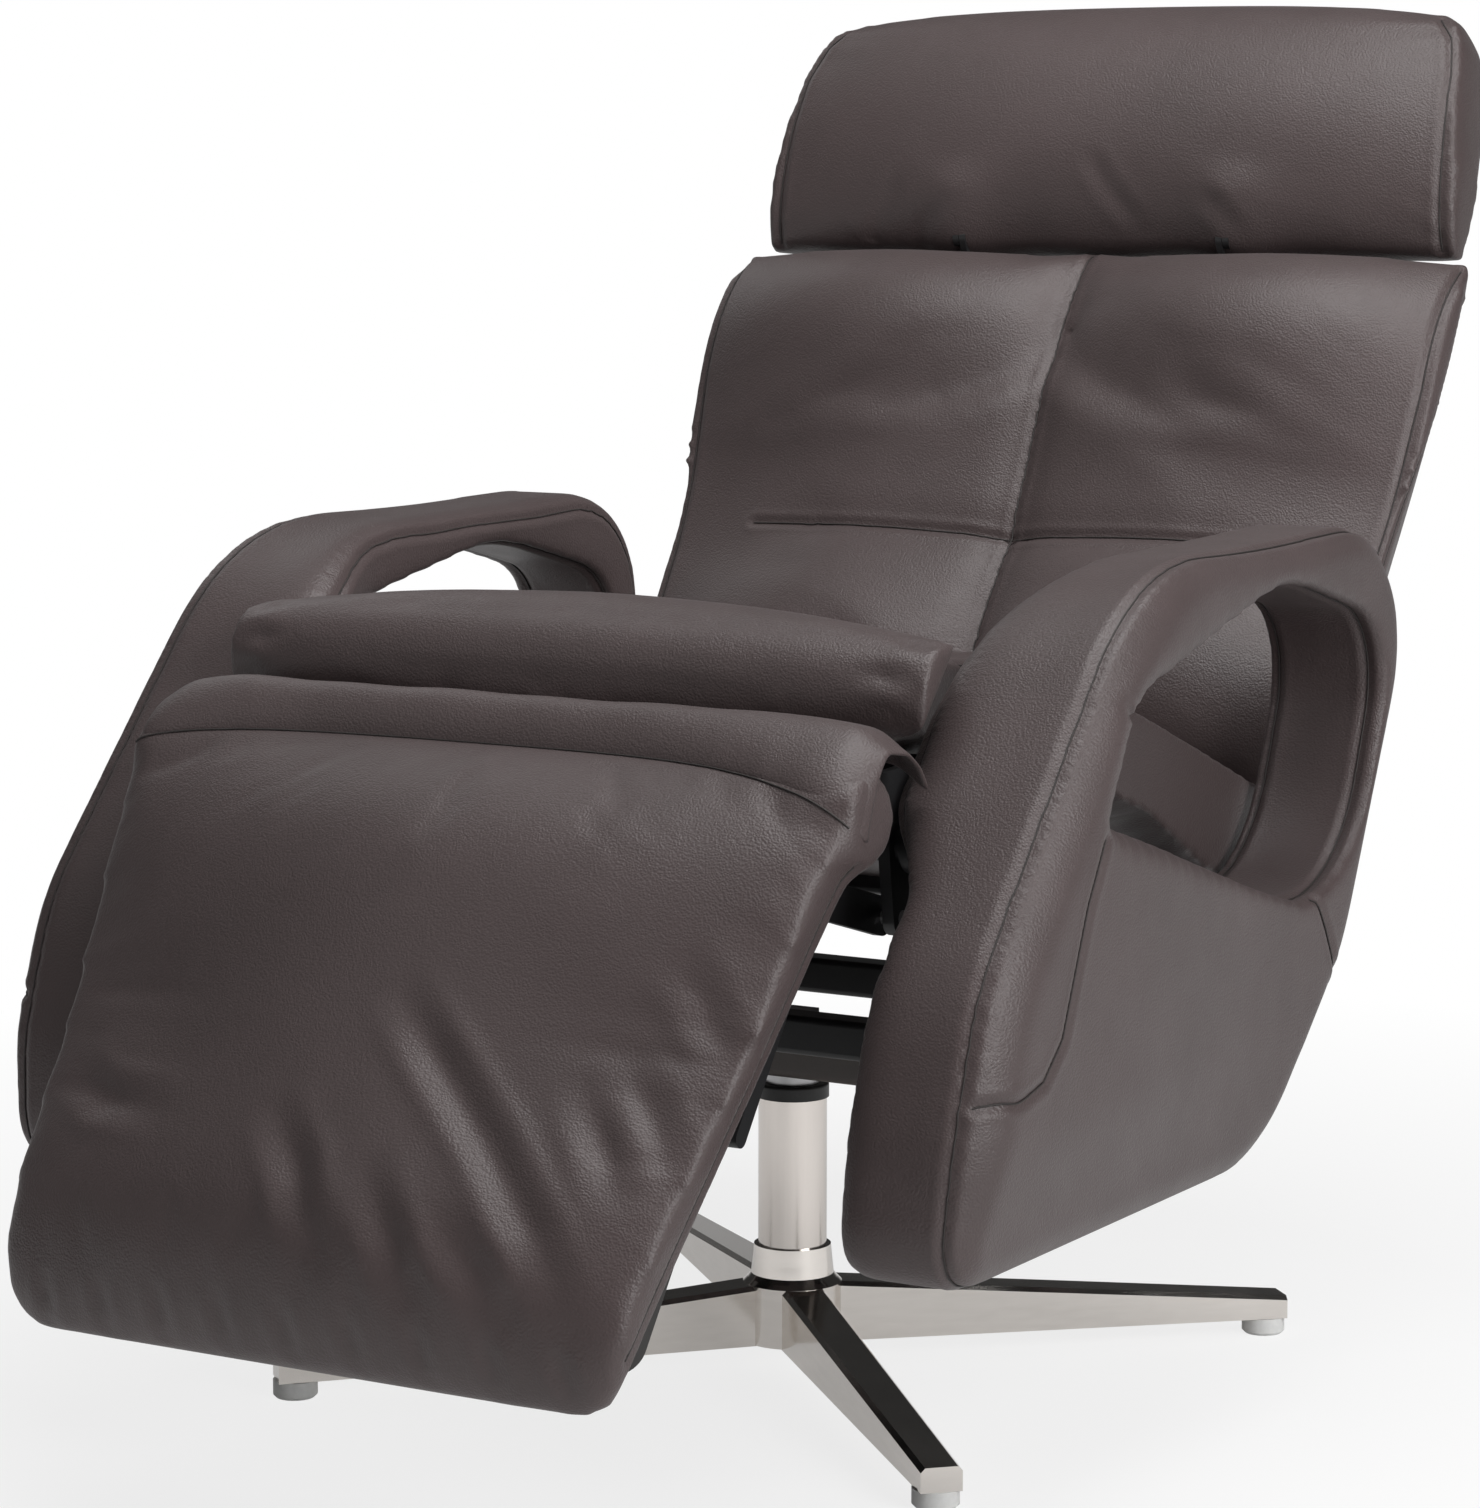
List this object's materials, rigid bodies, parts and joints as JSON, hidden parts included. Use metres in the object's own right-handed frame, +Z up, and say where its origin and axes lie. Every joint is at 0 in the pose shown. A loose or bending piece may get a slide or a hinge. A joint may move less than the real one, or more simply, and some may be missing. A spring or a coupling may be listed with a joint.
{
  "type": "swivel recliner",
  "caption": "Leather reclining armchair with open padded arm loops, tilting headrest and folding footrest, on a swivel column and a polished star base.",
  "frame": {"origin": "on the floor, on the swivel axis of the base", "axes": "+Z up; the sitter faces -Y; +X is the sitter's left"},
  "size_m": [0.7, 1.1712, 0.9401],
  "materials": {
    "leather": "satin",
    "polished_aluminium": "polished",
    "bright_column": "satin",
    "pale_plastic": "matte",
    "black_plastic": "matte",
    "zinc_steel": "satin",
    "brown_steel": "satin",
    "black_steel": "satin",
    "black_board": "matte",
    "webbing": "matte"
  },
  "bodies": {
    "base": {"star_base": "polished_aluminium", "foot_glides": "pale_plastic", "column_tube": "bright_column", "column_bolt": "zinc_steel", "column_bushes": "black_plastic"},
    "carriage": {"spindle": "zinc_steel", "spindle_circlip": "zinc_steel", "swivel_collar": "black_plastic", "spindle_nut": "zinc_steel", "swivel_beam": "brown_steel", "front_cross_bar": "black_steel", "rear_cross_bar": "black_steel", "left_chassis_plate": "black_steel", "right_chassis_plate": "black_steel", "left_arm": "leather", "right_arm": "leather", "arm_spacers": "black_steel", "arm_bolts": "zinc_steel", "tilt_pins": "zinc_steel", "tilt_washers": "black_plastic"},
    "seat": {"left_seat_rail": "black_steel", "right_seat_rail": "black_steel", "seat_front_tube": "black_steel", "seat_rear_tube": "black_steel", "seat_straps": "webbing", "seat_cushion": "leather", "footrest_pins": "zinc_steel", "back_pins": "zinc_steel"},
    "backrest": {"left_back_upright": "black_steel", "right_back_upright": "black_steel", "back_lower_tube": "black_steel", "back_middle_tube": "black_steel", "back_upper_tube": "black_steel", "left_hinge_plate": "black_steel", "right_hinge_plate": "black_steel", "back_cushion": "leather", "back_cover": "leather", "headrest_fixed_leaves": "black_steel", "headrest_pins": "zinc_steel"},
    "headrest": {"headrest_leaves": "black_steel", "headrest_board": "black_board", "headrest_cushion": "leather", "headrest_cover": "leather"},
    "footrest": {"footrest_cushion": "leather", "footrest_board": "black_board", "left_footrest_bracket": "black_steel", "right_footrest_bracket": "black_steel", "lever_pins": "zinc_steel"},
    "crank": {"crank_tube": "black_steel", "left_crank_arm": "black_steel", "right_crank_arm": "black_steel", "crank_pins": "zinc_steel"},
    "drag_links": {"left_drag_link": "black_steel", "right_drag_link": "black_steel"}
  },
  "joints": [
    {"name": "swivel", "type": "hinge", "parent": "base", "child": "carriage", "pos_m": [0, 0, 0.193], "axis": [0, 0, 1], "continuous": true},
    {"name": "seat_tilt", "type": "hinge", "parent": "carriage", "child": "seat", "pos_m": [0, -0.175, 0.395], "axis": [-1, 0, 0], "range_deg": [-10, 4]},
    {"name": "back_recline", "type": "hinge", "parent": "seat", "child": "backrest", "pos_m": [0, 0.258, 0.325], "axis": [-1, 0, 0], "range_deg": [0, 35]},
    {"name": "headrest_tilt", "type": "hinge", "parent": "backrest", "child": "headrest", "pos_m": [0, 0.4475, 0.76523], "axis": [-1, 0, 0], "range_deg": [-30, 6]},
    {"name": "footrest_lift", "type": "hinge", "parent": "seat", "child": "footrest", "pos_m": [0, -0.359, 0.442], "axis": [-1, 0, 0], "range_deg": [-33, 53]},
    {"name": "crank_turn", "type": "hinge", "parent": "seat", "child": "crank", "pos_m": [0, -0.246, 0.41], "axis": [-1, 0, 0], "range_deg": [-33, 53]},
    {"name": "link_turn", "type": "hinge", "parent": "crank", "child": "drag_links", "pos_m": [0, -0.246, 0.365], "axis": [-1, 0, 0], "range_deg": [-53, 33]}
  ],
  "couplings": [
    {"joint": "crank_turn", "follows": "footrest_lift", "ratio": 1},
    {"joint": "link_turn", "follows": "footrest_lift", "ratio": -1}
  ]
}
